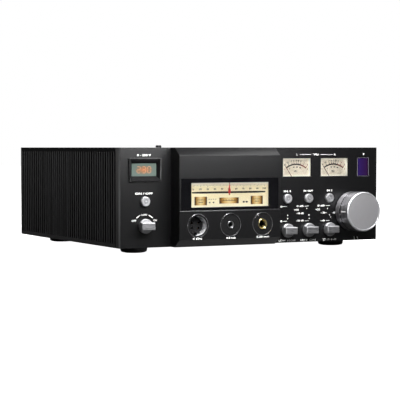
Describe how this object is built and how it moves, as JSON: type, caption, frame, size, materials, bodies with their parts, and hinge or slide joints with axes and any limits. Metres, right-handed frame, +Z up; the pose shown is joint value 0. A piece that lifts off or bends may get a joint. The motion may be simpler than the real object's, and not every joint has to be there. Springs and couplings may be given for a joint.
{
  "type": "headphone amplifier",
  "caption": "Desktop headphone amplifier with finned sides, a raised lit dial section, level meters, push buttons, selector knobs, headphone sockets and a large volume knob.",
  "frame": {"origin": "on the floor, in the middle of the overall length and width, midway between the four feet", "axes": "+Z up, the front panel faces -Y, +X to the right seen from the front"},
  "size_m": [0.296, 0.31, 0.1056],
  "materials": {
    "anodised_black": "satin black anodised aluminium",
    "bezel_black": "satin dark grey anodised aluminium",
    "sink_black": "matte black anodised aluminium fins",
    "cover_black": "fine textured black paint",
    "steel_zinc": "zinc plated steel",
    "screw_black": "black oxide steel",
    "knob_aluminium": "bead-blasted clear anodised aluminium",
    "silver_caps": "satin turned aluminium",
    "shaft_steel": "plain steel",
    "nickel": "nickel plated",
    "brass_gold": "gold flashed brass",
    "black_plastic": "moulded black plastic",
    "gloss_black": "black glass, back painted",
    "clear_glass": "clear",
    "dial_cream": "backlit cream scale",
    "amber_lit": "backlit amber",
    "lamp_white": "white light box",
    "pointer_red": "red enamel",
    "meter_ivory": "printed ivory card, lit",
    "needle_red": "brown-red enamel",
    "display_glow": "lit display glass",
    "window_indigo": "indigo filter window",
    "rubber_black": "moulded rubber",
    "foot_black": "black moulded plastic",
    "board_green": "green solder mask",
    "chip_black": "moulded epoxy",
    "cap_sleeve": "dark blue sleeve",
    "winding_wrap": "amber polyester tape over the winding",
    "switch_blue": "blue-grey plastic"
  },
  "bodies": {
    "chassis": {"front_panel": "anodised_black", "centre_bezel": "bezel_black", "dial_mask": "gloss_black", "dial_lens": "clear_glass", "dial_plate": "dial_cream", "tuning_windows": "amber_lit", "dial_lamp_box": "lamp_white", "pointer_rail": "steel_zinc", "pointer_drive": "black_plastic", "display_frame": "black_plastic", "volt_display": "display_glow", "vu_cases": "black_plastic", "vu_scales": "meter_ivory", "vu_lenses": "clear_glass", "remote_window": "window_indigo", "rotary_switches": "switch_blue", "board_switches": "chip_black", "volume_control": "switch_blue", "xlr_socket": "nickel", "xlr_insert": "black_plastic", "phone_jacks": "black_plastic", "jack_collars": "brass_gold", "heatsink_left": "sink_black", "heatsink_right": "sink_black", "top_cover": "cover_black", "bottom_pan": "cover_black", "rear_panel": "cover_black", "feet": "foot_black", "foot_pads": "rubber_black", "case_screws": "screw_black", "transformer": "winding_wrap", "transformer_bolt": "steel_zinc", "circuit_boards": "board_green", "board_parts": "chip_black", "capacitors": "cap_sleeve", "standoffs": "brass_gold", "mains_inlet": "black_plastic", "rear_sockets": "nickel", "xlr_outputs": "black_plastic", "contact_pins": "nickel"},
    "button_1": {"button_1": "silver_caps"},
    "button_2": {"button_2": "silver_caps"},
    "button_3": {"button_3": "silver_caps"},
    "button_4": {"button_4": "silver_caps"},
    "selector_1": {"selector_1": "silver_caps", "shaft_1": "shaft_steel"},
    "selector_2": {"selector_2": "silver_caps", "shaft_2": "shaft_steel"},
    "selector_3": {"selector_3": "silver_caps", "shaft_3": "shaft_steel"},
    "selector_4": {"selector_4": "silver_caps", "shaft_4": "shaft_steel"},
    "volume": {"volume_knob": "knob_aluminium", "volume_shaft": "shaft_steel"},
    "pointer": {"dial_pointer": "pointer_red"},
    "needle_left": {"vu_needle_left": "needle_red"},
    "needle_right": {"vu_needle_right": "needle_red"},
    "rocker": {"power_rocker": "black_plastic"},
    "aerial_base": {"antenna_base": "rubber_black"},
    "aerial": {"antenna_mast": "rubber_black"}
  },
  "joints": [
    {"name": "button_1_press", "type": "slide", "parent": "chassis", "child": "button_1", "axis": [0, 1, 0], "range_m": [0, 0.0015], "stiffness_N_per_m": 300},
    {"name": "button_2_press", "type": "slide", "parent": "chassis", "child": "button_2", "axis": [0, 1, 0], "range_m": [0, 0.0015], "stiffness_N_per_m": 300},
    {"name": "button_3_press", "type": "slide", "parent": "chassis", "child": "button_3", "axis": [0, 1, 0], "range_m": [0, 0.0015], "stiffness_N_per_m": 300},
    {"name": "button_4_press", "type": "slide", "parent": "chassis", "child": "button_4", "axis": [0, 1, 0], "range_m": [0, 0.0015], "stiffness_N_per_m": 300},
    {"name": "selector_1_turn", "type": "hinge", "parent": "chassis", "child": "selector_1", "pos_m": [-0.121, -0.131, 0.0278], "axis": [0, 1, 0], "range_deg": [-60, 60]},
    {"name": "selector_2_turn", "type": "hinge", "parent": "chassis", "child": "selector_2", "pos_m": [0.0382, -0.131, 0.0192], "axis": [0, 1, 0], "range_deg": [-60, 60]},
    {"name": "selector_3_turn", "type": "hinge", "parent": "chassis", "child": "selector_3", "pos_m": [0.0633, -0.131, 0.0192], "axis": [0, 1, 0], "range_deg": [-60, 60]},
    {"name": "selector_4_turn", "type": "hinge", "parent": "chassis", "child": "selector_4", "pos_m": [0.0884, -0.131, 0.0192], "axis": [0, 1, 0], "range_deg": [-60, 60]},
    {"name": "volume_turn", "type": "hinge", "parent": "chassis", "child": "volume", "pos_m": [0.1155, -0.131, 0.0375], "axis": [0, 1, 0], "range_deg": [-60, 240]},
    {"name": "pointer_slide", "type": "slide", "parent": "chassis", "child": "pointer", "axis": [1, 0, 0], "range_m": [-0.039, 0.039]},
    {"name": "needle_left_swing", "type": "hinge", "parent": "chassis", "child": "needle_left", "pos_m": [0.0497, -0.131, 0.0658], "axis": [0, 1, 0], "range_deg": [0, 69], "stiffness_Nm_per_rad": 0.00002},
    {"name": "needle_right_swing", "type": "hinge", "parent": "chassis", "child": "needle_right", "pos_m": [0.0949, -0.131, 0.0658], "axis": [0, 1, 0], "range_deg": [0, 69], "stiffness_Nm_per_rad": 0.00002},
    {"name": "rocker_tilt", "type": "hinge", "parent": "chassis", "child": "rocker", "pos_m": [-0.105, 0.129, 0.053], "axis": [-1, 0, 0], "range_deg": [0, 14]},
    {"name": "aerial_swivel", "type": "hinge", "parent": "chassis", "child": "aerial_base", "pos_m": [0.032, 0.131, 0.058], "axis": [0, 1, 0], "range_deg": [-90, 90]},
    {"name": "aerial_fold", "type": "hinge", "parent": "aerial_base", "child": "aerial", "pos_m": [0.032, 0.1508, 0.058], "axis": [-1, 0, 0], "range_deg": [0, 90]}
  ]
}
